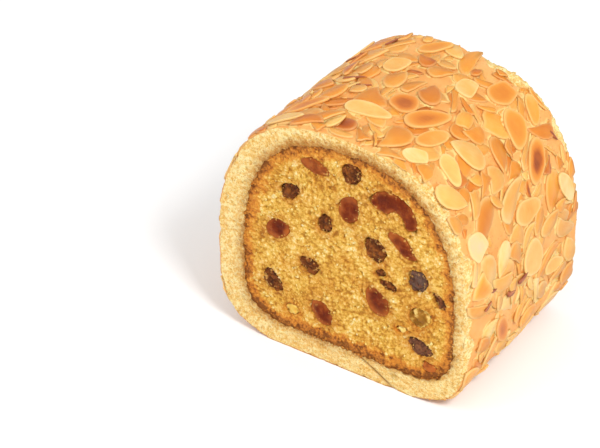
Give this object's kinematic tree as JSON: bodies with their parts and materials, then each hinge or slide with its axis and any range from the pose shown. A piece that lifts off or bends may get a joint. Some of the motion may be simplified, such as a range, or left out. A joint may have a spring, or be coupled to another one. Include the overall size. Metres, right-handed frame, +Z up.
{
  "type": "tea cake",
  "caption": "Cut end of a tea cake loaf: fruit cake wrapped in a sheet of sponge, with flaked almonds baked on the outside, standing on its flat base.",
  "frame": {"origin": "under the middle of the loaf, on the surface that it stands on", "axes": "+Y runs along the loaf from the front cut face to the rear one, +X is across it and +Z is up"},
  "size_m": [0.1024, 0.072, 0.0942],
  "materials": {
    "sponge": "matte",
    "cake_crumb": "matte",
    "glace_cherry": "satin",
    "raisin": "satin",
    "candied_peel": "satin",
    "almond": "satin"
  },
  "bodies": {
    "root": {"sponge_wrap": "sponge", "fruit_cake": "cake_crumb", "front_cherry_1": "glace_cherry", "front_cherry_2": "glace_cherry", "front_cherry_3": "glace_cherry", "front_cherry_4": "glace_cherry", "front_cherry_5": "glace_cherry", "front_cherry_6": "glace_cherry", "front_cherry_7": "glace_cherry", "front_cherry_hook": "glace_cherry", "front_raisin_1": "raisin", "front_raisin_2": "raisin", "front_raisin_3": "raisin", "front_raisin_4": "raisin", "front_raisin_5": "raisin", "front_raisin_6": "raisin", "front_raisin_7": "raisin", "front_raisin_8": "raisin", "front_raisin_9": "raisin", "front_raisin_10": "raisin", "front_raisin_11": "raisin", "front_peel_1": "candied_peel", "front_peel_2": "candied_peel", "front_peel_3": "candied_peel", "rear_cherry_1": "glace_cherry", "rear_cherry_2": "glace_cherry", "rear_cherry_3": "glace_cherry", "rear_cherry_4": "glace_cherry", "rear_raisin_1": "raisin", "rear_raisin_2": "raisin", "rear_raisin_3": "raisin", "rear_raisin_4": "raisin", "rear_raisin_5": "raisin", "rear_raisin_6": "raisin", "rear_peel_1": "candied_peel", "rear_peel_2": "candied_peel", "almond_flake_1": "almond", "almond_flake_2": "almond", "almond_flake_3": "almond", "almond_flake_4": "almond", "almond_flake_5": "almond", "almond_flake_6": "almond", "almond_flake_7": "almond", "almond_flake_8": "almond", "almond_flake_9": "almond", "almond_flake_10": "almond", "almond_flake_11": "almond", "almond_flake_12": "almond", "almond_flake_13": "almond", "almond_flake_14": "almond", "almond_flake_15": "almond", "almond_flake_16": "almond", "almond_flake_17": "almond", "almond_flake_18": "almond", "almond_flake_19": "almond", "almond_flake_20": "almond", "almond_flake_21": "almond", "almond_flake_22": "almond", "almond_flake_23": "almond", "almond_flake_24": "almond"}
  },
  "joints": []
}
